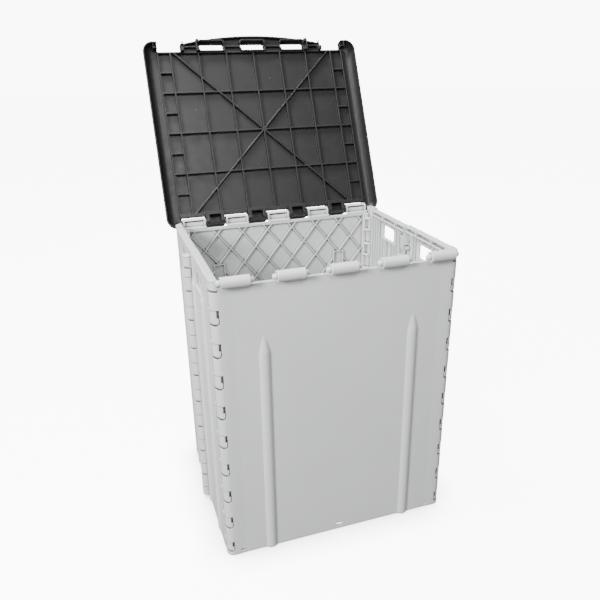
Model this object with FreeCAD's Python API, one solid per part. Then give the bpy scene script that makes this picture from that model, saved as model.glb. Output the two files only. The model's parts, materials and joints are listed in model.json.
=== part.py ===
import FreeCAD, Part
import math
import os
from FreeCAD import Vector

# Collapsible storage crate with a hinged lid, in millimetres.
#
# The crate is drawn about its own centre: +X to the right, +Y to the rear, +Z up, with Z = 0 on
# the ground. Each finished piece is then moved so that the origin is at the middle of the rear
# panel's foot. The crate stands open: walls straight, lid on its rear stop, floor latched up
# against the rear panel and the two side locks lifted.

# ---------------------------------------------------------------- driving dimensions

WIDTH = 400.0            # outer width, across the front
DEPTH = 328.0            # outer depth, front face to rear face
PANEL_TOP = 481.0        # top edge of the front and rear panels
RAIL_TOP = 493.0         # top of the front halves' rails
RAIL_STEP = 2.0          # the rear halves' rails are lower by this
WALL = 12.0              # overall thickness of every wall
SKIN = 2.5               # thickness of the moulded skin
RIB = 2.0                # thickness of a stiffening rib

HALF_X = WIDTH / 2
HALF_Y = DEPTH / 2
IN_X = HALF_X - WALL     # inner plane of the side walls
IN_Y = HALF_Y - WALL     # inner plane of the panels' corner columns
RIB_Y = IN_Y + 4.5       # inner edge of the panels' ribs

# Barrels along the top of the front and rear panels, which carry the lid.
BARREL_PITCH = 82.0
BARREL_COUNT = 5
BARREL_LENGTH = 42.0
BARREL_R = 8.5
BARREL_Y = HALF_Y + 6.5
BARREL_Z = 490.0
POCKET_Y = 2.5           # floor of the barrel's inner pocket, inside its axis
GROOVE_Y = 2.0           # floor of the groove along the pocket's top, outside its axis
PIN_R = 4.5
PIN_OUT = 7.0            # how far the moulded pin stands out of each end of its barrel
PIN_ROUND = 3.4

# Vertical hinges: knuckles of two pieces alternate at one pitch, from the ground up.
KNUCKLE_PITCH = 52.4
KNUCKLE_FIRST = 15.0     # height of the lowest knuckle's middle
KNUCKLE_COUNT = 9
WINDOW = 25.0            # height of the window that a side wall's knuckle sits in
KNUCKLE_GAP = 0.9        # clearance above a knuckle
KNUCKLE_SILL = 1.5       # clearance below a corner knuckle
CORNER_R = WALL          # round corner column of the panels
HUB_R = 6.0              # side wall's knuckle round the rod
TONGUE_R = 11.6          # its outer face, nearly flush with the column
TONGUE_ROUND = 6.0
TONGUE_GAP = 1.2         # gap between the tongue and the side of its window
COLUMN_TOP = 474.0
CORE_WALL = 4.0          # wall left round the rod by the coring of a column's inner side
CORE_BAND = 4.0          # height left above and below each core
ROD_R = 2.0
PLUG_R = 4.0
PLUG_Z = (0.3, 2.3)
RUNNING = 0.05           # radial clearance of a turning fit
OPEN_PIVOT = 0.3         # radial clearance at the front right corner
MIDDLE_OUT = 4.0         # middle hinge axis, outside the side walls' outer face
MIDDLE_R = 8.5
MIDDLE_TOP = 481.0
MIDDLE_SPLIT = 462.0     # top knuckle of the middle hinge starts here
CAP_HEIGHT = 2.6         # cap over the middle hinge, with a 0.3 gap under it
HALF_GAP = 1.0           # each side half stops this far short of the middle

# Front and rear panel details.
FACE_STEP = 0.6          # the flat face lies this far behind the corner columns
FACE_RAMP = (168.0, 182.0)   # X limits of the gentle rise from the face to the column
COLUMN_INNER = 176.0
RIDGE_X = 123.4
RIDGE_WIDTH = 18.0
RIDGE_OUT = 4.5
RIDGE_TOP = 398.0
RIDGE_TAPER = 28.0
CHANNEL_TOP = 407.0
DIAMOND_WIDTH = 49.4
DIAMOND_HEIGHT = 60.7
DIAMOND_Z = 436.4        # height of one row of crossings
TOP_BAND = 4.7
FOOT_BAND = 4.0
GATE_HEIGHTS = (118.6, 371.0)
SLOT_Z = (5.7, 11.7)
SLOTS = ((0.0, 6.5), (173.0, 4.5), (-173.0, 4.5))   # X and half width

# Side walls.
HOLE_Y = (49.0, 93.0)    # hand hole, measured from the middle hinge
HOLE_Z = (446.0, 471.0)
HOLE_R = 5.0
HOLE_SET_IN = 5.0        # the hole's plate lies this far behind the wall's outer face
HOLE_DISH = 9.0          # the dish round the hole is wider than it by this, on the open side
SIDE_FOOT = 1.0
SIDE_START = HALF_Y - WALL - 12.5   # a side half's body ends here, clear of the columns
SIDE_RIDGES = (22.0, 100.0)
SIDE_RIDGE_WIDTH = 14.0
SIDE_RIDGE_OUT = 3.6
SIDE_RIBS_Y = (28.0, 37.0, 46.0, 58.0, 84.0, 96.0, 107.0, 118.0, 129.0)
SIDE_RIDGE_TOPS = (456.0, 436.0)   # of the front and the rear half's outer ridge
SIDE_RIBS_Z = (64.0, 128.0, 192.0, 256.0, 320.0)

# Side locks: a bolt that drops behind a narrow slot in the front half.
LOCK_TRAVEL = 10.0
LOCK_Z = 451.5           # middle of the bolt's head, lifted
LOCK_GRIP = (4.2, 18.6)  # width of the grip's top, measured from the middle hinge
LOCK_FOOT = (6.0, 14.0)  # width of its foot and of the bolt below it
LOCK_RIB = 20.0          # face of the guide rib

# Floor, hinged on the rear panel.
FLOOR_HALF = 175.4
FLOOR_THICK = 6.0
FLOOR_FOOT = 5.0
FLOOR_AXIS_Y = IN_Y + 4.3
FLOOR_AXIS_Z = 9.0
FLOOR_KNUCKLE_R = 4.0
FLOOR_HINGES = (-140.0, -50.0, 50.0, 140.0)
FLOOR_HINGE_HALF = 12.0
FLOOR_LUG = 8.0
FLOOR_REAR = 150.5
FLOOR_FRONT = -155.5
TAB_OUT = 5.5

# Lid. S runs forward from the rear hinge axis and H runs up from it, with the lid closed.
LID_OPEN = 114.5         # opening angle of the rear stop, degrees
LID_TOP = 14.0
LID_UNDER = LID_TOP - SKIN
LID_RIB_H = 3.8          # lower edge of the ribs, just above the rails
LID_RIB = 2.6            # thickness of the ribs
LID_HALF = 214.0
LID_EDGE_R = 16.0
LID_CORNER_R = 20.0
LID_REAR = -9.0
LID_FRONT = 347.0
LID_SKIRT_H = -6.0
LID_RIM_H = 0.0
LID_FLAT = 331.0         # plate ends here, behind the front barrels
LID_NOTCH = 12.0         # and starts here, ahead of the rear barrels
LID_PITCH = 54.3
LID_COLUMNS = 3          # ribs on each side of the middle one
LID_ROWS = 4
LID_ROW_START = 17.6
LID_ROW_PITCH = 77.9
LID_INNER_WALL = 187.6
SLOT_HALF = 23.5
SLOT_S = (LID_FLAT + 0.5, 350.0)
SLOT_END = 346.4         # the slot goes through up to here, and the rest of it is roofed
HANDLE_HALF = 142.0
HANDLE_ENDS = 345.0
HANDLE_MIDDLE = 360.5
HANDLE_H = 3.5           # lower edge of the handle's lip
PRONG = 3.6              # thickness of the prongs that straddle the front pins
SLOT_RIM = 2.5
HOOK_HALF = 17.5
EAR_R = 5.9              # eyes and hooks at the lid's corners, clear of the side walls' noses
PIN_FIT = 0.15           # clearance of the snap channels round the front pins

ORIGIN_Y = HALF_Y - WALL / 2


# ---------------------------------------------------------------- solid helpers

def box(x, y, z):
    """Box between pairs of limits along X, Y and Z."""
    corner = Vector(min(x), min(y), min(z))
    return Part.makeBox(abs(x[1] - x[0]), abs(y[1] - y[0]), abs(z[1] - z[0]), corner)


def post(x, y, z, radius):
    """Upright cylinder between two heights."""
    return Part.makeCylinder(radius, z[1] - z[0], Vector(x, y, z[0]))


def bar(x, y, z, radius):
    """Cylinder along X between two limits."""
    return Part.makeCylinder(radius, x[1] - x[0], Vector(x[0], y, z), Vector(1, 0, 0))


def fuse(shapes):
    """One solid out of many."""
    return shapes[0].multiFuse(shapes[1:]).removeSplitter()


def cut(shape, tools):
    """Shape with every tool taken away."""
    return shape.cut(tools) if tools else shape


def mirror_x(shape):
    return shape.mirror(Vector(0, 0, 0), Vector(1, 0, 0))


def mirror_y(shape):
    return shape.mirror(Vector(0, 0, 0), Vector(0, 1, 0))


def round_foot(x, y, z, radius, rounding):
    """Upright cylinder whose lower rim is rounded."""
    solid = post(x, y, z, radius)
    rim = [edge for edge in solid.Edges if edge.BoundBox.ZMax < z[0] + 0.01]
    return solid.makeFillet(rounding, rim)


def half_round(x, y, z, width, out, taper):
    """Upright ridge of circular section on the plane y, standing out towards -Y, pointed on top."""
    radius = ((width / 2) ** 2 + out ** 2) / (2 * out)
    centre = y + radius - out
    straight = post(x, centre, (z[0], z[1] - taper), radius)
    point = Part.makeCone(radius, radius - out, taper, Vector(x, centre, z[1] - taper))
    proud = box((x - width, x + width), (y - out - 1, y + 0.5), (z[0] - 1, z[1] + 1))
    return straight.fuse(point).common(proud)


def window_z(index):
    """Heights of one hinge window."""
    middle = KNUCKLE_FIRST + KNUCKLE_PITCH * index
    foot = max(middle - WINDOW / 2, SLOT_Z[0])
    return foot, middle + WINDOW / 2


def barrel_xs():
    """Middle of each barrel along X."""
    first = -(BARREL_COUNT - 1) / 2
    return [BARREL_PITCH * (first + index) for index in range(BARREL_COUNT)]


# ---------------------------------------------------------------- front and rear panels

def diamond_ribs(y, x_half, z):
    """Crossing diagonal ribs between two Y planes, trimmed to a rectangle."""
    slope = math.atan2(DIAMOND_HEIGHT, DIAMOND_WIDTH)
    reach = math.hypot(2 * x_half, z[1] - z[0])
    steps = int((z[1] - z[0] + 2 * x_half * math.tan(slope)) / DIAMOND_HEIGHT) + 2
    ribs = []
    for lean in (-1, 1):
        for index in range(-steps, steps):
            height = DIAMOND_Z + DIAMOND_HEIGHT * index
            rib = box((-reach, reach), y, (height - RIB / 2, height + RIB / 2))
            rib.rotate(Vector(0, 0, height), Vector(0, 1, 0), lean * math.degrees(slope))
            ribs.append(rib)
    frame = box((-x_half, x_half), y, z)
    trimmed = [rib.common(frame) for rib in ribs]
    return [rib for rib in trimmed if rib.Volume > 1.0]


def ridge_channel(x):
    """Ribs that frame the hollow behind one outer ridge."""
    wide = RIDGE_WIDTH / 2 + RIB / 2
    depth = (-HALF_Y + SKIN, -RIB_Y)
    left = box((x - wide - RIB / 2, x - wide + RIB / 2), depth, (FOOT_BAND, CHANNEL_TOP))
    right = box((x + wide - RIB / 2, x + wide + RIB / 2), depth, (FOOT_BAND, CHANNEL_TOP))
    top = box((x - wide, x + wide), depth, (CHANNEL_TOP - RIB, CHANNEL_TOP))
    return [left, right, top]


def barrel_pin(end, side):
    """Round-ended pin standing out of one end of a barrel."""
    pin = bar(sorted((end - side * 2, end + side * PIN_OUT)), -BARREL_Y, BARREL_Z, PIN_R)
    tip = [edge for edge in pin.Edges
           if edge.BoundBox.XLength < 0.01 and abs(edge.BoundBox.XMin - end) > PIN_OUT / 2]
    return pin.makeFillet(PIN_ROUND, tip)


def barrel(x):
    """One barrel with its two pins, the web that carries it and the pocket on its inner side."""
    half = BARREL_LENGTH / 2
    span = (x - half, x + half)
    tube = bar(span, -BARREL_Y, BARREL_Z, BARREL_R)
    web = box(span, (-BARREL_Y, -HALF_Y + WALL - 4.5), (PANEL_TOP - TOP_BAND, PANEL_TOP + 4))
    shelf = box(span, (-BARREL_Y, -HALF_Y + 1.5), (PANEL_TOP + 3, BARREL_Z + 5))
    pocket = box((x - half + 2.5, x + half - 2.5), (-BARREL_Y + POCKET_Y, -IN_Y + 1),
                 (PANEL_TOP + 3, BARREL_Z + 5.8))
    groove = box((x - half + 4.5, x + half - 4.5), (-BARREL_Y - GROOVE_Y, -IN_Y + 1),
                 (BARREL_Z + 1.8, BARREL_Z + 5.2))
    under = box((span[0] - 1, span[1] + 1), (-BARREL_Y - 1, -HALF_Y), (0, BARREL_Z - BARREL_R + 1.5))
    solid = tube.fuse([web.cut(under), shelf]).cut([pocket, groove])
    return solid.fuse([barrel_pin(span[0], -1), barrel_pin(span[1], 1)])


def rounded_window(side, x, z, rounding):
    """Block that opens a corner to the front and the side, with its lower inner corner rounded."""
    block = box((side * x[0], side * x[1]), (-HALF_Y - 1, -IN_Y + 13), z)
    corner = [edge for edge in block.Edges
              if edge.BoundBox.YLength > 1 and edge.BoundBox.ZMax < z[0] + 0.01
              and abs(edge.BoundBox.XMin - side * x[0]) < 0.01]
    return block.makeFillet(rounding, corner)


def corner_column(side):
    """Solid corner column of a panel, with its windows for the side wall's knuckles."""
    axis_x = side * IN_X
    column = post(axis_x, -IN_Y, (0, COLUMN_TOP), CORNER_R)
    flank = box((side * COLUMN_INNER, axis_x), (-HALF_Y + SKIN - 0.5, -IN_Y), (0, PANEL_TOP))
    corners = [(axis_x, -HALF_Y), (side * FACE_RAMP[1], -HALF_Y), (side * FACE_RAMP[0], -HALF_Y + FACE_STEP),
               (side * FACE_RAMP[0], -HALF_Y + SKIN), (axis_x, -HALF_Y + SKIN)]
    points = [Vector(x, y, 0) for x, y in corners]
    ramp = Part.Face(Part.makePolygon(points + [points[0]])).extrude(Vector(0, 0, PANEL_TOP))
    solid = column.fuse([flank, ramp])
    tools = []
    for index in range(KNUCKLE_COUNT):
        z = window_z(index)
        tools.append(post(axis_x, -IN_Y, z, HUB_R + 0.5))
        tools.append(rounded_window(side, (IN_X - 0.3, HALF_X + 1), z, TONGUE_ROUND + 0.4))
        tools.append(box((side * COLUMN_INNER, side * (HALF_X + 1)), (-IN_Y - 0.2, -IN_Y + 13), z))
        core_z = (z[1] + CORE_BAND, min(z[1] + KNUCKLE_PITCH - WINDOW, COLUMN_TOP) - CORE_BAND)
        tools.append(box((side * (COLUMN_INNER + 1), side * (IN_X - CORE_WALL)),
                         (-IN_Y + CORE_WALL / 2, -IN_Y + 13), core_z))
    tools.append(post(axis_x, -IN_Y, (-1, COLUMN_TOP + 1), ROD_R))
    tools.append(post(axis_x, -IN_Y, (-1, PLUG_Z[1]), PLUG_R))
    return cut(solid, tools)


def panel():
    """Front panel: smooth outside, diamond ribs inside, corner columns and five barrels."""
    depth = (-HALF_Y + SKIN - 0.5, -RIB_Y)
    inner = COLUMN_INNER + 1
    flat = FACE_RAMP[0] + 1
    solids = [box((-flat, flat), (-HALF_Y + FACE_STEP, -HALF_Y + SKIN), (0, PANEL_TOP))]
    solids += [box((-inner, inner), depth, (PANEL_TOP - TOP_BAND, PANEL_TOP))]
    solids += [box((-inner, inner), depth, (0, FOOT_BAND))]
    ribs = fuse(diamond_ribs(depth, inner, (FOOT_BAND - 1, PANEL_TOP - TOP_BAND + 1)))
    hollows = []
    for x in (-RIDGE_X, RIDGE_X):
        half = RIDGE_WIDTH / 2
        hollows.append(box((x - half, x + half), (-HALF_Y + SKIN, -IN_Y + 1), (FOOT_BAND, CHANNEL_TOP - RIB)))
        solids += ridge_channel(x)
        solids.append(half_round(x, -HALF_Y + FACE_STEP, (0, RIDGE_TOP), RIDGE_WIDTH, RIDGE_OUT, RIDGE_TAPER))
    solids.append(cut(ribs, hollows))
    solids += [corner_column(side) for side in (-1, 1)]
    solids += [barrel(x) for x in barrel_xs()]
    tools = []
    for x, half in SLOTS:
        tools.append(box((x - half, x + half), (-HALF_Y - 1, -IN_Y + 1), SLOT_Z))
        tools.append(box((x - half, x + half), (-IN_Y - 6.6, -IN_Y + 1), (FOOT_BAND, 68)))
    for z in GATE_HEIGHTS:
        tools.append(Part.makeCylinder(1.6, 0.4, Vector(0, -HALF_Y + FACE_STEP, z), Vector(0, 1, 0)))
    return cut(fuse(solids), tools)


def floor_lugs():
    """Lugs on the rear panel that hold the floor's hinge pin."""
    lugs = []
    for x in FLOOR_HINGES:
        for side in (-1, 1):
            near = x + side * (FLOOR_HINGE_HALF + KNUCKLE_GAP)
            lug = box((near, near + side * FLOOR_LUG), (IN_Y + 0.3, HALF_Y - 2), (1, FLOOR_AXIS_Z + 4))
            lugs.append(lug)
    return lugs


def rear_panel(front):
    """The same moulding turned to the rear, with a recess and lugs for the floor."""
    solid = mirror_y(front)
    recess = box((-FLOOR_HALF - 0.6, FLOOR_HALF + 0.6), (IN_Y - 1, IN_Y + 6.7), (FOOT_BAND, 325))
    hinge_room = box((-FLOOR_HALF, FLOOR_HALF), (IN_Y, HALF_Y - SKIN - 0.8), (FOOT_BAND, FLOOR_AXIS_Z + 6))
    solid = fuse([solid.cut([recess, hinge_room])] + floor_lugs())
    bore = bar((-FLOOR_HALF, FLOOR_HALF), FLOOR_AXIS_Y, FLOOR_AXIS_Z, ROD_R)
    return solid.cut(bore)


# ---------------------------------------------------------------- side walls

def side_skin(top):
    """Skin, frame and inner ribs of the left front half, without hinges."""
    y_far, y_mid = -SIDE_START, -HALF_GAP
    outer = (-HALF_X, -HALF_X + SKIN)
    full = (-HALF_X, -IN_X)
    z = (SIDE_FOOT, top)
    solids = [box(outer, (y_far, y_mid), (SIDE_FOOT, top - 2.5))]
    solids.append(box(full, (y_far, y_far + 3), z))
    solids.append(box(full, (y_mid - 2.5, y_mid), z))
    solids.append(box(full, (y_far, y_mid), (SIDE_FOOT, SIDE_FOOT + 3)))
    rail = box(full, (y_far, y_mid), (top - 2.8, top))
    rail_rim = [edge for edge in rail.Edges
                if edge.BoundBox.ZMin > top - 0.01 and edge.BoundBox.XMax < -HALF_X + 0.01]
    solids.append(rail.makeFillet(2.2, rail_rim))
    solids.append(box(full, (y_far, y_mid), (top - 11.4, top - 9.8)))
    for y in (-40.0, -92.0):
        solids.append(box(full, (y - 1.5, y + 1.5), (top - 11, top)))
    shallow = (-HALF_X, -IN_X - 1.5)
    for y in SIDE_RIBS_Y:
        solids.append(box(shallow, (-y - RIB / 2, -y + RIB / 2), (SIDE_FOOT, top - 9)))
    for height in SIDE_RIBS_Z:
        solids.append(box(shallow, (y_far, y_mid - 18), (height - RIB / 2, height + RIB / 2)))
    return solids


def rounded_block(x, y, z, radius):
    """Box whose edges along X are rounded."""
    solid = box(x, y, z)
    return solid.makeFillet(radius, [edge for edge in solid.Edges if edge.BoundBox.XLength > 1])


def hand_hole(front):
    """Block round the hand hole, and the dish, hole and clearance that are cut from the wall."""
    y_end = -HOLE_Y[1] - (RIB if front else HOLE_DISH)
    y_start = -HOLE_Y[0] + HOLE_DISH
    low, high = HOLE_Z[0] - 3, HOLE_Z[1] + 3
    plate_x = -HALF_X + HOLE_SET_IN + SKIN
    block = rounded_block((-HALF_X, plate_x), (y_end - RIB, y_start + RIB), (low - RIB, high + RIB),
                          HOLE_R + RIB)
    dish = rounded_block((-HALF_X - 1, -HALF_X + HOLE_SET_IN), (y_end, y_start), (low, high), HOLE_R)
    hole = rounded_block((-HALF_X - 1, -IN_X + 1), (-HOLE_Y[1], -HOLE_Y[0]), HOLE_Z, HOLE_R)
    inside = box((plate_x, -IN_X + 1), (-HOLE_Y[1] - HOLE_DISH - 1, -HOLE_Y[0] + HOLE_DISH + 1), (low, high))
    return block, [dish, hole, inside]


def corner_tongue(z):
    """Outer face of a knuckle: round below, and cut back beside the column's edge above."""
    tongue = round_foot(-IN_X, -IN_Y, z, TONGUE_R, 4.0)
    outline = rounded_window(-1, (IN_X - 0.3 + TONGUE_GAP, HALF_X + 1), z, TONGUE_ROUND)
    upper = box((-IN_X - 3.8, -IN_X), (-HALF_Y - 1, -IN_Y - HUB_R), ((z[0] + z[1]) / 2, z[1] + 1))
    return tongue.common(outline).cut(upper)


def corner_knuckles(bore):
    """Knuckles of the side wall inside the panel's column, and the nose on top."""
    solids = []
    for index in range(KNUCKLE_COUNT):
        low, high = window_z(index)
        z = (low + KNUCKLE_SILL, high - KNUCKLE_GAP)
        hub = post(-IN_X, -IN_Y, z, HUB_R)
        link = box((-HALF_X, -IN_X), (-IN_Y, -SIDE_START + 1), z)
        groove = box((-HALF_X - 1, -HALF_X + 1.6), (-IN_Y + 0.5, -IN_Y + 1.7), z)
        pocket = box((-IN_X - 6, -IN_X + 1), (-IN_Y + 7.5, -IN_Y + 11.5), (z[0] + 3, z[1] - 3))
        solids.append(hub.fuse([corner_tongue(z), link]).cut([groove, pocket]))
    z = (COLUMN_TOP + KNUCKLE_GAP, RAIL_TOP)
    nose = round_foot(-IN_X, -IN_Y, z, CORNER_R, 4.0)
    pad = post(-IN_X, -IN_Y, (RAIL_TOP - 4, RAIL_TOP), CORNER_R + 0.3)
    pad = pad.makeFillet(1.2, [edge for edge in pad.Edges if edge.BoundBox.ZLength < 0.01])
    link = box((-HALF_X, -IN_X), (-IN_Y, -SIDE_START + 1), z)
    outside = box((-HALF_X - 1, -IN_X - 0.3), (-HALF_Y - 1, -SIDE_START + 1), z)
    solids.append(nose.fuse([pad, link]).common(outside))
    rod = post(-IN_X, -IN_Y, (-1, RAIL_TOP - 4), ROD_R + bore)
    return solids, rod


def middle_knuckle_heights(front):
    """Heights of the middle hinge's knuckles on the front or the rear half."""
    heights = [window_z(index) for index in range(KNUCKLE_COUNT)]
    own = heights + [(MIDDLE_SPLIT, MIDDLE_TOP)]
    other = [(low[1], high[0]) for low, high in zip(own, own[1:])]
    return own if front else other


def middle_knuckles(front):
    """Knuckles of one half round the middle hinge's axis."""
    axis_x = -HALF_X - MIDDLE_OUT
    solids = []
    for low, high in middle_knuckle_heights(front):
        z = (low + KNUCKLE_GAP / 2, high - KNUCKLE_GAP / 2)
        rounding = 4.0 if front else 0.6
        web = box((axis_x, -HALF_X + SKIN), (-8, -HALF_GAP), z)
        solids.append(round_foot(axis_x, 0, z, MIDDLE_R, rounding).fuse(web))
    return solids


def side_half(front, bore):
    """Left half wall, drawn as the front one."""
    solids = side_skin(RAIL_TOP if front else RAIL_TOP - RAIL_STEP)
    hole_block, hole_tools = hand_hole(front)
    solids.append(hole_block)
    knuckles, rod = corner_knuckles(bore)
    solids += knuckles
    if not front:
        solids += lock_guides()
    body = fuse(solids)
    axis_x = -HALF_X - MIDDLE_OUT
    tools = hole_tools + [rod]
    for low, high in middle_knuckle_heights(not front):
        z = (low - KNUCKLE_GAP, high + KNUCKLE_GAP)
        tools.append(post(axis_x, 0, z, MIDDLE_R + 0.5))
    tools.append(post(axis_x, 0, (MIDDLE_TOP - 1, MIDDLE_TOP + CAP_HEIGHT + 0.5), MIDDLE_R + 0.5))
    body = cut(body, tools)
    extras = middle_knuckles(front)
    outer_top = SIDE_RIDGE_TOPS[0 if front else 1]
    for y, top in zip(SIDE_RIDGES, (SIDE_RIDGE_TOPS[0], outer_top)):
        ridge = half_round(0, 0, (8, top), SIDE_RIDGE_WIDTH, SIDE_RIDGE_OUT, 16)
        ridge.rotate(Vector(0, 0, 0), Vector(0, 0, 1), -90)
        ridge.translate(Vector(-HALF_X, -y, 0))
        extras.append(ridge)
    solid = fuse([body] + extras)
    middle_bore = ROD_R + (RUNNING if front else 0)
    tools = [post(axis_x, 0, (-1, RAIL_TOP), middle_bore)]
    tools += lock_keeper() if front else lock_way()
    return cut(solid, tools)


# ---------------------------------------------------------------- side locks

BOLT_X = (-IN_X - 5.5, -IN_X - 2.4)


def lock_way():
    """Opening in the rear half's end rib for the bolt's neck."""
    z = (LOCK_Z - LOCK_TRAVEL - 3.2, LOCK_Z + 3.2)
    return [box((BOLT_X[0] - 0.3, BOLT_X[1] + 0.3), (-4, 0), z)]


def lock_keeper():
    """Keyhole in the front half's end rib: open above, narrow below."""
    wide = box((-HALF_X + SKIN, -IN_X + 1), (-4, 0), (LOCK_Z - 4, LOCK_Z + 5))
    neck = box((BOLT_X[0] - 0.4, BOLT_X[1] + 0.4), (-4, 0), (LOCK_Z - LOCK_TRAVEL - 4, LOCK_Z))
    return [wide, neck]


def lock_guides():
    """Guide rib and strap that hold the bolt against the wall."""
    wide = (-LOCK_RIB, -HALF_GAP)
    rib = box((-HALF_X, -IN_X), (-LOCK_RIB - RIB, -LOCK_RIB), (LOCK_Z - 35, LOCK_Z + 25))
    strap = box((-IN_X - 2.0, -IN_X), wide, (LOCK_Z - 20.4, LOCK_Z - 16))
    rest = box((-HALF_X, -IN_X - 6), wide, (LOCK_Z - 34, LOCK_Z + 22))
    return [rib, strap, rest]


def lock_grip(inset, x):
    """Tapered grip between two X planes, drawn smaller by an inset."""
    top, foot = LOCK_Z + 18.5 - inset, LOCK_Z - 5.5 + inset
    corners = [(-LOCK_GRIP[1] + inset, top), (-LOCK_GRIP[0] - inset, top),
               (-LOCK_FOOT[0] - inset, foot), (-LOCK_FOOT[1] + inset, foot)]
    points = [Vector(x[0], y, z) for y, z in corners]
    face = Part.Face(Part.makePolygon(points + [points[0]]))
    solid = face.extrude(Vector(x[1] - x[0], 0, 0))
    rounded = [edge for edge in solid.Edges
               if edge.BoundBox.XLength > 1 and edge.BoundBox.ZMax < foot + 0.01]
    return solid.makeFillet(3.2 - inset, rounded)


def side_lock():
    """Sliding bolt of the left wall, drawn on the -Y side of the middle hinge."""
    front_x = -IN_X - 0.4
    foot = (-LOCK_FOOT[1], -LOCK_FOOT[0])
    plate = box(BOLT_X, foot, (LOCK_Z - 22.5, LOCK_Z + 10))
    toe = box((BOLT_X[0], front_x), foot, (LOCK_Z - 22.5, LOCK_Z - 20.9))
    neck = box(BOLT_X, (-LOCK_FOOT[0] - 1, 4.2), (LOCK_Z - 2.5, LOCK_Z + 2.5))
    head = box((-HALF_X + SKIN + 1, -IN_X - 0.6), (4.1, 7.5), (LOCK_Z - 2.5, LOCK_Z + 2.5))
    dish = lock_grip(1.6, (-IN_X - 2.0, front_x + 1))
    middle = -sum(LOCK_FOOT) / 2
    eye = Part.makeCylinder(2.2, 12, Vector(-IN_X - 8, middle, LOCK_Z - 10.5), Vector(1, 0, 0))
    return fuse([plate, lock_grip(0, (BOLT_X[0], front_x)), toe, neck, head]).cut([dish, eye])


# ---------------------------------------------------------------- hinge rods

def corner_rod(side_x, side_y):
    """Rod of one corner hinge."""
    return post(side_x * IN_X, side_y * IN_Y, (3, COLUMN_TOP - 1), ROD_R)


def rod_plugs(side_y):
    """Round plugs under the two corner rods of one panel."""
    return Part.makeCompound([post(side * IN_X, side_y * IN_Y, PLUG_Z, PLUG_R) for side in (-1, 1)])


def middle_rod(side_x):
    """Rod of one middle hinge."""
    return post(side_x * (HALF_X + MIDDLE_OUT), 0, (6, MIDDLE_TOP), ROD_R)


def hinge_cap(side_x):
    """Cap on top of a middle hinge."""
    z = (MIDDLE_TOP + 0.3, MIDDLE_TOP + CAP_HEIGHT)
    cap = post(side_x * (HALF_X + MIDDLE_OUT), 0, z, MIDDLE_R)
    rim = [edge for edge in cap.Edges if edge.BoundBox.ZMin > z[1] - 0.01]
    foot = post(side_x * (HALF_X + MIDDLE_OUT), 0, (MIDDLE_TOP, z[0] + 0.1), ROD_R)
    return cap.makeFillet(1.4, rim).fuse(foot)


# ---------------------------------------------------------------- floor

def floor_panel():
    """Floor, drawn lying down and then folded up against the rear panel."""
    z = (FLOOR_FOOT, FLOOR_FOOT + FLOOR_THICK)
    plate = box((-FLOOR_HALF, FLOOR_HALF), (FLOOR_FRONT, FLOOR_REAR), z)
    pockets = []
    columns, rows = 6, 5
    pitch_x = 2 * FLOOR_HALF / columns
    pitch_y = (FLOOR_REAR - FLOOR_FRONT) / rows
    for column in range(columns):
        for row in range(rows):
            x = -FLOOR_HALF + pitch_x * column
            y = FLOOR_FRONT + pitch_y * row
            pockets.append(box((x + RIB, x + pitch_x - RIB), (y + RIB, y + pitch_y - RIB),
                               (z[0] - 1, z[1] - SKIN)))
    solid = plate.cut(pockets)
    extras = []
    for x in FLOOR_HINGES:
        span = (x - FLOOR_HINGE_HALF, x + FLOOR_HINGE_HALF)
        extras.append(bar(span, FLOOR_AXIS_Y, FLOOR_AXIS_Z, FLOOR_KNUCKLE_R))
        extras.append(box(span, (FLOOR_REAR - 1, FLOOR_AXIS_Y), (z[0], FLOOR_AXIS_Z)))
    for x, half in SLOTS:
        tab = box((x - half + 0.8, x + half - 0.8), (FLOOR_FRONT - TAB_OUT, FLOOR_FRONT + 3),
                  (SLOT_Z[0] + 0.6, z[1] - 0.1))
        extras.append(tab)
    grip_y = FLOOR_FRONT + pitch_y / 2
    grip = box((-30, 30), (grip_y - 12, grip_y + 12), (z[0] - 1, z[1] + 1))
    grip_rim = box((-33, 33), (grip_y - 15, grip_y + 15), z)
    bore = bar((-FLOOR_HALF, FLOOR_HALF), FLOOR_AXIS_Y, FLOOR_AXIS_Z, ROD_R + RUNNING)
    limit = box((-FLOOR_HALF, FLOOR_HALF), (-HALF_Y, HALF_Y), (0, 20))
    solid = fuse([solid, grip_rim] + extras).common(limit).cut([grip, bore])
    solid.rotate(Vector(0, FLOOR_AXIS_Y, FLOOR_AXIS_Z), Vector(1, 0, 0), -90)
    return solid


def floor_pin():
    """Pin of the floor's hinge."""
    return bar((-FLOOR_HALF + 3, FLOOR_HALF - 3), FLOOR_AXIS_Y, FLOOR_AXIS_Z, ROD_R)


# ---------------------------------------------------------------- lid

def lid_box(x, s, h):
    """Box in the closed lid's own measures."""
    return box(x, (BARREL_Y - s[1], BARREL_Y - s[0]), (BARREL_Z + h[0], BARREL_Z + h[1]))


def lid_bar(x, s, h, radius):
    """Cylinder along X in the closed lid's own measures."""
    return bar(x, BARREL_Y - s, BARREL_Z + h, radius)


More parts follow.
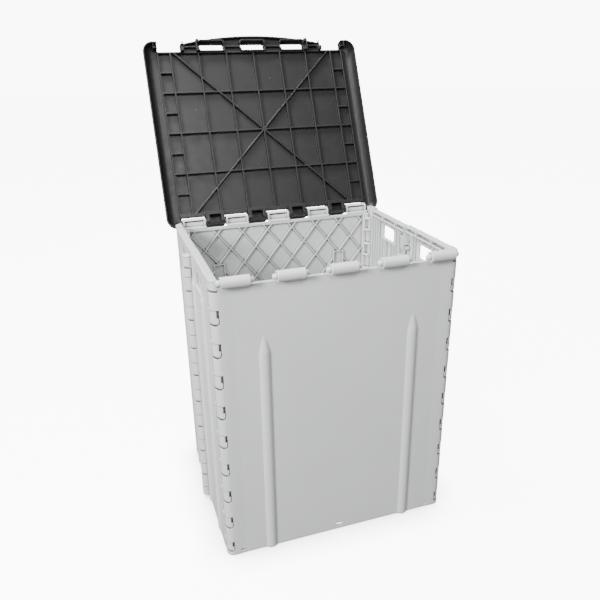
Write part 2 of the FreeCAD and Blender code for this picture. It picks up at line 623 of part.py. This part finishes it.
def edge_profile(inner):
    """Section of the lid's rounded edge and skirt at X >= inner, as a face at S = 0."""
    flat = LID_HALF - LID_EDGE_R
    spring = LID_TOP - LID_EDGE_R
    inside = LID_EDGE_R - SKIN
    slant = math.sqrt(0.5)

    def point(x, h):
        return Vector(x, BARREL_Y, BARREL_Z + h)
    outer_arc = Part.Arc(point(flat, LID_TOP),
                         point(flat + LID_EDGE_R * slant, spring + LID_EDGE_R * slant),
                         point(LID_HALF, spring)).toShape()
    inner_arc = Part.Arc(point(LID_HALF - SKIN, spring),
                         point(flat + inside * slant, spring + inside * slant),
                         point(flat, LID_UNDER)).toShape()
    edges = [
        Part.makeLine(point(inner, LID_TOP), point(flat, LID_TOP)),
        outer_arc,
        Part.makeLine(point(LID_HALF, spring), point(LID_HALF, LID_SKIRT_H)),
        Part.makeLine(point(LID_HALF, LID_SKIRT_H), point(LID_HALF - SKIN, LID_SKIRT_H)),
        Part.makeLine(point(LID_HALF - SKIN, LID_SKIRT_H), point(LID_HALF - SKIN, spring)),
        inner_arc,
        Part.makeLine(point(flat, LID_UNDER), point(inner, LID_UNDER)),
        Part.makeLine(point(inner, LID_UNDER), point(inner, LID_TOP)),
    ]
    return Part.Face(Part.Wire(edges))


def lid_edge():
    """Right-hand edge of the lid with its two round corners."""
    start = LID_REAR + LID_CORNER_R
    end = LID_FRONT - LID_CORNER_R
    centre_x = LID_HALF - LID_CORNER_R
    straight = edge_profile(LID_INNER_WALL - 3)
    straight.translate(Vector(0, -start, 0))
    solids = [straight.extrude(Vector(0, start - end, 0))]
    for s, turn in ((start, 90), (end, -90)):
        section = edge_profile(centre_x)
        section.translate(Vector(0, -s, 0))
        solids.append(section.revolve(Vector(centre_x, BARREL_Y - s, 0), Vector(0, 0, 1), turn))
    plate_h = (LID_UNDER, LID_TOP)
    solids.append(lid_box((LID_INNER_WALL - 3, centre_x), (LID_REAR, start), plate_h))
    solids.append(lid_box((LID_INNER_WALL - 2, centre_x), (end, LID_FRONT), plate_h))
    return solids


def lid_ribs():
    """Grid, side cells and the two long diagonals under the plate."""
    h = (LID_RIB_H, LID_UNDER + 0.5)
    last = LID_ROW_START + LID_ROWS * LID_ROW_PITCH
    field = LID_PITCH * LID_COLUMNS
    ribs = []
    for column in range(-LID_COLUMNS, LID_COLUMNS + 1):
        x = LID_PITCH * column
        ribs.append(lid_box((x - LID_RIB / 2, x + LID_RIB / 2), (LID_ROW_START, last), h))
    for row in range(LID_ROWS + 1):
        s = LID_ROW_START + LID_ROW_PITCH * row
        ribs.append(lid_box((-LID_INNER_WALL, LID_INNER_WALL), (s - LID_RIB / 2, s + LID_RIB / 2), h))
    for side in (-1, 1):
        wall = (side * (LID_INNER_WALL - RIB), side * LID_INNER_WALL)
        ribs.append(lid_box(wall, (LID_NOTCH, LID_FLAT), h))
        for row in range(LID_ROWS):
            s = LID_ROW_START + LID_ROW_PITCH * (row + 0.5)
            ribs.append(lid_box((side * field, side * LID_INNER_WALL), (s - LID_RIB / 2, s + LID_RIB / 2), h))
    middle = (LID_ROW_START + last) / 2
    half_length = math.hypot(field - 6, (last - LID_ROW_START) / 2)
    angle = math.degrees(math.atan2((last - LID_ROW_START) / 2, field - 6))
    for turn in (-angle, angle):
        rib = lid_box((-half_length, half_length), (middle - LID_RIB / 2, middle + LID_RIB / 2), h)
        rib.rotate(Vector(0, BARREL_Y - middle, 0), Vector(0, 0, 1), turn)
        ribs.append(rib)
    return ribs


def rear_hook(x):
    """Block between two rear barrels that turns on their pins, with the heel of the lid's stop."""
    span = (x - HOOK_HALF, x + HOOK_HALF)
    round_part = lid_bar(span, 0, 0, BARREL_R)
    neck = lid_box(span, (0, LID_ROW_START), (-BARREL_R + 1, LID_TOP))
    roof = lid_box(span, (-BARREL_R, 1), (0, LID_TOP))
    heel = lid_box((x - 8, x + 8), (-13.2, 0), (-0.7, 6))
    solid = round_part.fuse([neck, roof, heel])
    pin_tip = (BARREL_PITCH - BARREL_LENGTH) / 2 - PIN_OUT - 0.6
    inside = pin_tip - 1.4
    pocket = lid_box((x - inside, x + inside), (-3, LID_NOTCH), (-BARREL_R, 7))
    bores = [lid_bar((x - HOOK_HALF - 1, x - pin_tip), 0, 0, PIN_R + RUNNING),
             lid_bar((x + pin_tip, x + HOOK_HALF + 1), 0, 0, PIN_R + RUNNING)]
    return solid.cut([pocket] + bores)


def ear_ring(side):
    """Eye on a rear corner of the lid, round the outermost pin."""
    span = (side * (LID_INNER_WALL - 2), side * (LID_HALF - LID_CORNER_R))
    low, high = min(span), max(span)
    ring = lid_bar((low, high), 0, 0, EAR_R)
    neck = lid_box(span, (-EAR_R, EAR_R), (0, LID_UNDER + 1))
    return ring.fuse(neck).cut(lid_bar((low - 1, high + 1), 0, 0, PIN_R + RUNNING))


def snap_channel(x, s):
    """Channel that drops over a front pin."""
    width = PIN_R + PIN_FIT
    way = lid_box(x, (s - width, s + width), (-12, 0))
    return way.fuse(lid_bar((min(x), max(x)), s, 0, width))


def front_hooks(reach):
    """Prongs under the handle and at the corners, which the snap channels are cut in."""
    blocks = []
    h = (LID_SKIRT_H, LID_UNDER + 1)
    outline = handle_arch(0, h)
    for side in (-1, 1):
        for inner in (HANDLE_HALF - PRONG - 2, BARREL_PITCH + SLOT_HALF + SLOT_RIM - 1):
            prong = lid_box((side * inner, side * (inner + PRONG + 2)), (LID_FLAT - 2, HANDLE_MIDDLE), h)
            blocks.append(prong.common(outline))
        wall = (side * (LID_INNER_WALL - 1.5), side * (LID_HALF - LID_CORNER_R))
        blocks.append(lid_box(wall, (reach - EAR_R + 0.5, reach + EAR_R + 1), (-3, LID_UNDER + 1)))
    blocks.append(lid_box((-HANDLE_HALF, HANDLE_HALF), (reach - LID_RIB / 2, reach + LID_RIB / 2),
                          (PIN_R + 0.4, LID_UNDER + 1)))
    return blocks


def snap_channels(reach):
    """All the channels along the lid's front edge."""
    half = BARREL_LENGTH / 2 + PIN_OUT + 0.6
    return [snap_channel((x - half, x + half), reach) for x in barrel_xs()]


def handle_arch(inset, h):
    """Plate under the handle's arched front edge, drawn smaller at the front by an inset."""
    def point(x, s):
        return Vector(x, BARREL_Y - s, BARREL_Z + h[0])
    ends = HANDLE_ENDS - inset
    curve = Part.Arc(point(-HANDLE_HALF, ends), point(0, HANDLE_MIDDLE - inset),
                     point(HANDLE_HALF, ends)).toShape()
    back = LID_FLAT - 2
    edges = [curve,
             Part.makeLine(point(HANDLE_HALF, ends), point(HANDLE_HALF, back)),
             Part.makeLine(point(HANDLE_HALF, back), point(-HANDLE_HALF, back)),
             Part.makeLine(point(-HANDLE_HALF, back), point(-HANDLE_HALF, ends))]
    return Part.Face(Part.Wire(edges)).extrude(Vector(0, 0, h[1] - h[0]))


def handle():
    """Arched lip along the front edge."""
    outer = handle_arch(0, (HANDLE_H, LID_TOP))
    solid = outer.cut(handle_arch(SKIN, (HANDLE_H - 1, LID_UNDER)))
    top_rim = [edge for edge in solid.Edges
               if edge.BoundBox.ZMin > BARREL_Z + LID_TOP - 0.01 and edge.Length > 2 * HANDLE_HALF
               and edge.Curve.TypeId == "Part::GeomCircle"]
    return solid.makeFillet(2.0, top_rim)


def slot_block(x, margin, s_end, h):
    """Rounded block the shape of a handle slot, wider by a margin all round."""
    block = lid_box((x - SLOT_HALF - margin, x + SLOT_HALF + margin),
                    (SLOT_S[0] - margin, s_end + margin), h)
    upright = [edge for edge in block.Edges if edge.BoundBox.ZLength > 1]
    return block.makeFillet(3.0 + margin, upright)


def slot_rims():
    """Walls round the handle's three slots, which drop over the middle front barrels."""
    h = (LID_RIM_H, LID_UNDER + 0.5)
    outline = handle_arch(0, h)
    return [slot_block(x, SLOT_RIM, SLOT_S[1], h).common(outline) for x in barrel_xs()[1:-1]]


def handle_slots():
    """Pockets of the handle over the three middle barrels, open through most of their depth."""
    pockets = [slot_block(x, 0, SLOT_S[1], (LID_SKIRT_H - 2, LID_UNDER)) for x in barrel_xs()[1:-1]]
    return pockets + [slot_block(x, 0, SLOT_END, (LID_SKIRT_H, LID_TOP + 2)) for x in barrel_xs()[1:-1]]


def lid():
    """Lid in one piece, drawn closed and then opened to its stop."""
    reach = 2 * BARREL_Y
    plate = lid_box((-LID_INNER_WALL, LID_INNER_WALL), (LID_NOTCH, LID_FLAT), (LID_UNDER, LID_TOP))
    rear_bar = lid_box((-LID_INNER_WALL, LID_INNER_WALL), (LID_NOTCH, LID_ROW_START),
                       (LID_RIB_H, LID_UNDER + 0.5))
    right_edge = lid_edge()
    left_edge = [mirror_x(piece) for piece in right_edge]
    hook_xs = [x + BARREL_PITCH / 2 for x in barrel_xs()[:-1]]
    shell = [plate, rear_bar] + right_edge + left_edge + lid_ribs()
    shell += [rear_hook(x) for x in hook_xs] + [ear_ring(side) for side in (-1, 1)]
    front = fuse([handle()] + slot_rims() + front_hooks(reach)).cut(snap_channels(reach))
    solid = fuse(shell + [front])
    margin = 30.0
    dish = lid_box((-LID_INNER_WALL + 14, LID_INNER_WALL - 14), (margin, LID_FLAT - 20),
                   (LID_TOP - 0.8, LID_TOP + 1))
    upright = [edge for edge in dish.Edges if edge.BoundBox.ZLength > 1]
    relief = [lid_box((side * LID_INNER_WALL, side * 197), (LID_REAR - 1, 2), (LID_SKIRT_H - 1, -3))
              for side in (-1, 1)]
    solid = solid.cut(handle_slots() + relief + [dish.makeFillet(14.0, upright)])
    solid.rotate(Vector(0, BARREL_Y, BARREL_Z), Vector(1, 0, 0), -LID_OPEN)
    return solid


# ---------------------------------------------------------------- assembly

def build():
    """Every piece by name, about the crate's centre."""
    front = panel()
    left_front = side_half(True, RUNNING)
    left_rear = mirror_y(side_half(False, RUNNING))
    right_front = mirror_x(side_half(True, OPEN_PIVOT))
    left_lock = mirror_y(side_lock())
    pieces = {
        "front_panel": front,
        "rear_panel": rear_panel(front),
        "front_rod_plugs": rod_plugs(-1),
        "rear_rod_plugs": rod_plugs(1),
        "left_front_side": left_front,
        "left_rear_side": left_rear,
        "right_front_side": right_front,
        "right_rear_side": mirror_x(left_rear),
        "left_side_lock": left_lock,
        "right_side_lock": mirror_x(left_lock),
        "floor_panel": floor_panel(),
        "floor_hinge_pin": floor_pin(),
        "lid": lid(),
    }
    for name, side in (("left", -1), ("right", 1)):
        pieces["front_" + name + "_rod"] = corner_rod(side, -1)
        pieces["rear_" + name + "_rod"] = corner_rod(side, 1)
        pieces[name + "_middle_rod"] = middle_rod(side)
        pieces[name + "_hinge_cap"] = hinge_cap(side)
    return pieces


os.makedirs("parts", exist_ok=True)
for name, shape in build().items():
    placed = shape.copy()
    placed.translate(Vector(0, -ORIGIN_Y, 0))
    placed.exportStep("parts/" + name + ".step")
    print(name, len(placed.Solids), "solids", round(placed.Volume / 1000, 1), "cm3", placed.isValid())
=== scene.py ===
import json
import math

import bpy
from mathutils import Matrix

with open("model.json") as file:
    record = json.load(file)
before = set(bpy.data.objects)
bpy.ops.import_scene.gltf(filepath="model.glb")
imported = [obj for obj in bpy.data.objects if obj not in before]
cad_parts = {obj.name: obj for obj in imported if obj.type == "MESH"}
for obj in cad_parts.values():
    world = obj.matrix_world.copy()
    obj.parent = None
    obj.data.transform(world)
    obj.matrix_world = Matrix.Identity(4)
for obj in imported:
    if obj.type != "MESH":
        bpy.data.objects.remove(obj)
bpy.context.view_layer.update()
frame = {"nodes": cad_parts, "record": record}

# Looks of a collapsible storage crate with a ribbed lid: camera, studio and materials.
# Every visible piece is a CAD node with a procedural material. Lengths are in metres.

WHITE = (1, 1, 1, 1)

# ---------------------------------------------------------------- camera

CAMERA_PLACE = (-0.32916, -1.11436, 0.78192)
CAMERA_TURN = (1.1883, 0.0141, -0.3252)
CAMERA_LENS = 36.68
SENSOR_WIDTH = 36.0
NEAR_CLIP = 0.01


def make_camera():
    """Camera ahead and to the left of the crate, above its rim, looking down at it."""
    data = bpy.data.cameras.new("view")
    data.lens = CAMERA_LENS
    data.sensor_width = SENSOR_WIDTH
    data.clip_start = NEAR_CLIP
    camera = bpy.data.objects.new("view", data)
    camera.location = CAMERA_PLACE
    camera.rotation_euler = CAMERA_TURN
    bpy.context.collection.objects.link(camera)
    bpy.context.scene.camera = camera


# ---------------------------------------------------------------- node helpers

def crevices(nodes, distance):
    """Ambient occlusion within a distance: 1 in the open, towards 0 in gaps and corners."""
    node = nodes.new("ShaderNodeAmbientOcclusion")
    node.samples = 8
    node.inputs["Distance"].default_value = distance
    return node.outputs["AO"]


def remap(tree, source, limits, low, high):
    """Source between two limits, turned into low to high."""
    node = tree.nodes.new("ShaderNodeMapRange")
    node.inputs["From Min"].default_value = limits[0]
    node.inputs["From Max"].default_value = limits[1]
    node.inputs["To Min"].default_value = low
    node.inputs["To Max"].default_value = high
    tree.links.new(source, node.inputs["Value"])
    return node.outputs["Result"]


def multiply(tree, first, second):
    """Product of two values."""
    node = tree.nodes.new("ShaderNodeMath")
    node.operation = "MULTIPLY"
    tree.links.new(first, node.inputs[0])
    tree.links.new(second, node.inputs[1])
    return node.outputs["Value"]


def noise(tree, place, scale, detail):
    """Noise over the object's own coordinates."""
    node = tree.nodes.new("ShaderNodeTexNoise")
    node.inputs["Scale"].default_value = scale
    node.inputs["Detail"].default_value = detail
    tree.links.new(place, node.inputs["Vector"])
    return node.outputs["Fac"]


def bump(tree, height, normal, strength, distance):
    """Normal roughened by a height."""
    node = tree.nodes.new("ShaderNodeBump")
    node.inputs["Strength"].default_value = strength
    node.inputs["Distance"].default_value = distance
    tree.links.new(height, node.inputs["Height"])
    tree.links.new(normal, node.inputs["Normal"])
    return node.outputs["Normal"]


# ---------------------------------------------------------------- light and floor

WORLD_LIGHT = 0.20       # strength of the surroundings as light
WORLD_SEEN = 9.5         # and where they are seen directly

# Name, place, target, size of the square, power in watts, and whether gloss mirrors it.
LIGHTS = [
    ("key", (-2.1, -1.55, 1.5), (0, -0.16, 0.4), 0.8, 122, False),
    ("top", (-0.7, 0.0, 2.4), (0, -0.16, 0.4), 0.6, 80, True),
    ("gloss", (-0.2, -1.9, 2.2), (0, 0.0, 0.6), 0.6, 26, True),
    ("fill", (0.5, -2.6, 0.9), (0, -0.16, 0.3), 1.6, 9, False),
    ("back", (0.9, 2.2, 1.5), (0, 0, 0.45), 1.4, 45, False),
]

FLOOR_RADIUS = 14
FLOOR_DROP = 0.0005      # keeps the floor just under the crate's foot
FLOOR_SIDES = 96
FLOOR_GREY = (0.62, 0.62, 0.62, 1)
FLOOR_ROUGHNESS = 0.9
FLOOR_SHADOW = 0.06      # reach of the soft contact shadow
FLOOR_SHADOW_LIMITS = (0.35, 1.0)
FLOOR_GLOW = (1.8, 9.0)  # glow under the crate and in the open


def area_light(name, place, target, size, power, mirrored):
    """Soft square light aimed at a point; it shows in glossy surfaces only if mirrored."""
    data = bpy.data.lights.new(name, "AREA")
    data.shape = "SQUARE"
    data.size = size
    data.energy = power
    lamp = bpy.data.objects.new(name, data)
    lamp.location = place
    aim = [t - p for t, p in zip(target, place)]
    flat = math.hypot(aim[0], aim[1])
    tilt = math.pi / 2 + math.atan2(aim[2], flat)
    lamp.rotation_euler = (tilt, 0, math.atan2(-aim[0], aim[1]))
    lamp.visible_glossy = mirrored
    bpy.context.collection.objects.link(lamp)


def background(nodes, strength):
    """White surroundings of one strength."""
    node = nodes.new("ShaderNodeBackground")
    node.inputs["Strength"].default_value = strength
    node.inputs["Color"].default_value = WHITE
    return node.outputs[0]


def make_world():
    """Even white surroundings, brighter where they are seen directly."""
    world = bpy.data.worlds.new("studio")
    bpy.context.scene.world = world
    world.use_nodes = True
    nodes = world.node_tree.nodes
    links = world.node_tree.links
    nodes.clear()
    path = nodes.new("ShaderNodeLightPath")
    mix = nodes.new("ShaderNodeMixShader")
    out = nodes.new("ShaderNodeOutputWorld")
    links.new(path.outputs["Is Camera Ray"], mix.inputs["Fac"])
    links.new(background(nodes, WORLD_LIGHT), mix.inputs[1])
    links.new(background(nodes, WORLD_SEEN), mix.inputs[2])
    links.new(mix.outputs[0], out.inputs["Surface"])


def make_floor():
    """Pale glowing floor, dimmer close round the crate's foot; it lights nothing itself."""
    bpy.ops.mesh.primitive_circle_add(vertices=FLOOR_SIDES, radius=FLOOR_RADIUS,
                                      fill_type="NGON", location=(0, 0, -FLOOR_DROP))
    floor = bpy.context.object
    floor.name = "floor"
    material = bpy.data.materials.new("studio_floor")
    material.use_nodes = True
    tree = material.node_tree
    shader = tree.nodes["Principled BSDF"]
    shader.inputs["Base Color"].default_value = FLOOR_GREY
    shader.inputs["Roughness"].default_value = FLOOR_ROUGHNESS
    shader.inputs["Emission Color"].default_value = WHITE
    glow = remap(tree, crevices(tree.nodes, FLOOR_SHADOW), FLOOR_SHADOW_LIMITS, *FLOOR_GLOW)
    tree.links.new(glow, shader.inputs["Emission Strength"])
    floor.data.materials.append(material)
    floor.visible_diffuse = False
    floor.visible_glossy = False


# ---------------------------------------------------------------- materials

EDGE_RADIUS = 0.0013     # how far the painted edge highlight reaches from an edge
EDGE_LIMITS = (0.80, 0.99)
GAP_REACH = 0.005        # how near walls stand where painted shade darkens a gap
GAP_LIMITS = (0.20, 0.88)
NOISE_LIMITS = (0.3, 0.7)
MOTTLE_SCALE = 9.0
SPECK_SCALE = 38.0
SPECK_LIMITS = (0.014, 0.026)
DUST = (0.45, 0.45, 0.44, 1)
STREAK_SCALE = 60.0
STREAK_SPREAD = 0.05     # variation of the roughness
WAVE_SCALE = 22.0
WAVE_STRENGTH = 0.06
WAVE_DEPTH = 0.002
GRAIN_SCALE = 1800.0
GRAIN_DEPTH = 0.0001

PLASTICS = {
    "white_plastic": {
        "colour": (0.675, 0.685, 0.69), "roughness": 0.40, "grain": 0.30, "mottling": 0.025,
        "edge_highlight_gain": 0.40, "gap_shade": 0.10, "dust": 0.0},
    "dark_grey_plastic": {
        "colour": (0.0145, 0.0145, 0.0155), "roughness": 0.44, "grain": 0.40, "mottling": 0.10,
        "edge_highlight_gain": 2.6, "gap_shade": 0.25, "dust": 0.8},
}

STEEL_COLOUR = (0.55, 0.55, 0.56, 1)
STEEL_ROUGHNESS = (0.22, 0.42)
STEEL_STRETCH = (900, 900, 40)


def plastic(name, colour, roughness, grain, mottling, edge_highlight_gain, gap_shade, dust):
    """Moulded plastic: fine grain, slight mottling, painted highlights on edges, painted shade
    in gaps, dust specks.
    """
    material = bpy.data.materials.new(name)
    material.use_nodes = True
    tree = material.node_tree
    nodes, links = tree.nodes, tree.links
    shader = nodes["Principled BSDF"]
    place = nodes.new("ShaderNodeTexCoord").outputs["Object"]

    edge = nodes.new("ShaderNodeBevel")
    edge.samples = 6
    edge.inputs["Radius"].default_value = EDGE_RADIUS
    surface = nodes.new("ShaderNodeNewGeometry")
    flatness = nodes.new("ShaderNodeVectorMath")
    flatness.operation = "DOT_PRODUCT"
    links.new(edge.outputs["Normal"], flatness.inputs[0])
    links.new(surface.outputs["Normal"], flatness.inputs[1])

    mottle = remap(tree, noise(tree, place, MOTTLE_SCALE, 4.0), NOISE_LIMITS,
                   1 - mottling, 1 + mottling)
    # Painted highlight: every edge is made lighter, most where it is sharpest.
    painted_edge_highlight = remap(tree, flatness.outputs["Value"], EDGE_LIMITS, 1 + edge_highlight_gain, 1.0)
    # Painted shade: gaps and corners are darkened, down to gap_shade where walls close in.
    gaps = remap(tree, crevices(nodes, GAP_REACH), GAP_LIMITS, gap_shade, 1.0)
    shade = nodes.new("ShaderNodeHueSaturation")
    shade.inputs["Color"].default_value = (*colour, 1)
    links.new(multiply(tree, multiply(tree, mottle, painted_edge_highlight), gaps), shade.inputs["Value"])

    specks = nodes.new("ShaderNodeTexVoronoi")
    specks.inputs["Scale"].default_value = SPECK_SCALE
    links.new(place, specks.inputs["Vector"])
    dusty = nodes.new("ShaderNodeMix")
    dusty.data_type = "RGBA"
    speck = remap(tree, specks.outputs["Distance"], SPECK_LIMITS, dust, 0.0)
    links.new(speck, dusty.inputs["Factor"])
    links.new(shade.outputs["Color"], dusty.inputs["A"])
    dusty.inputs["B"].default_value = DUST
    links.new(dusty.outputs["Result"], shader.inputs["Base Color"])

    streaks = remap(tree, noise(tree, place, STREAK_SCALE, 3.0), NOISE_LIMITS,
                    roughness - STREAK_SPREAD, roughness + STREAK_SPREAD)
    links.new(streaks, shader.inputs["Roughness"])
    wavy = bump(tree, noise(tree, place, WAVE_SCALE, 2.0), edge.outputs["Normal"],
                WAVE_STRENGTH, WAVE_DEPTH)
    fine = bump(tree, noise(tree, place, GRAIN_SCALE, 2.0), wavy, grain, GRAIN_DEPTH)
    links.new(fine, shader.inputs["Normal"])
    return material


def steel(name):
    """Drawn steel wire, with fine streaks along its length."""
    material = bpy.data.materials.new(name)
    material.use_nodes = True
    nodes, links = material.node_tree.nodes, material.node_tree.links
    shader = nodes["Principled BSDF"]
    shader.inputs["Base Color"].default_value = STEEL_COLOUR
    shader.inputs["Metallic"].default_value = 1.0
    place = nodes.new("ShaderNodeTexCoord")
    stretch = nodes.new("ShaderNodeMapping")
    stretch.inputs["Scale"].default_value = STEEL_STRETCH
    scratches = nodes.new("ShaderNodeTexNoise")
    scratches.inputs["Scale"].default_value = 1.0
    links.new(place.outputs["Object"], stretch.inputs["Vector"])
    links.new(stretch.outputs["Vector"], scratches.inputs["Vector"])
    spread = nodes.new("ShaderNodeMapRange")
    spread.inputs["To Min"].default_value = STEEL_ROUGHNESS[0]
    spread.inputs["To Max"].default_value = STEEL_ROUGHNESS[1]
    links.new(scratches.outputs["Fac"], spread.inputs["Value"])
    links.new(spread.outputs["Result"], shader.inputs["Roughness"])
    return material


def paint_frame():
    """Every CAD node gets the material that its slot in the record names."""
    looks = {name: plastic(name, **values) for name, values in PLASTICS.items()}
    looks["steel_rod"] = steel("steel_rod")
    slots = {row["node"]: row["material_slot"] for row in frame["record"]["subparts"]}
    for name, node in frame["nodes"].items():
        node.data.materials.clear()
        node.data.materials.append(looks[slots[name]])


# ---------------------------------------------------------------- scene

make_camera()
make_world()
make_floor()
for light in LIGHTS:
    area_light(*light)
paint_frame()
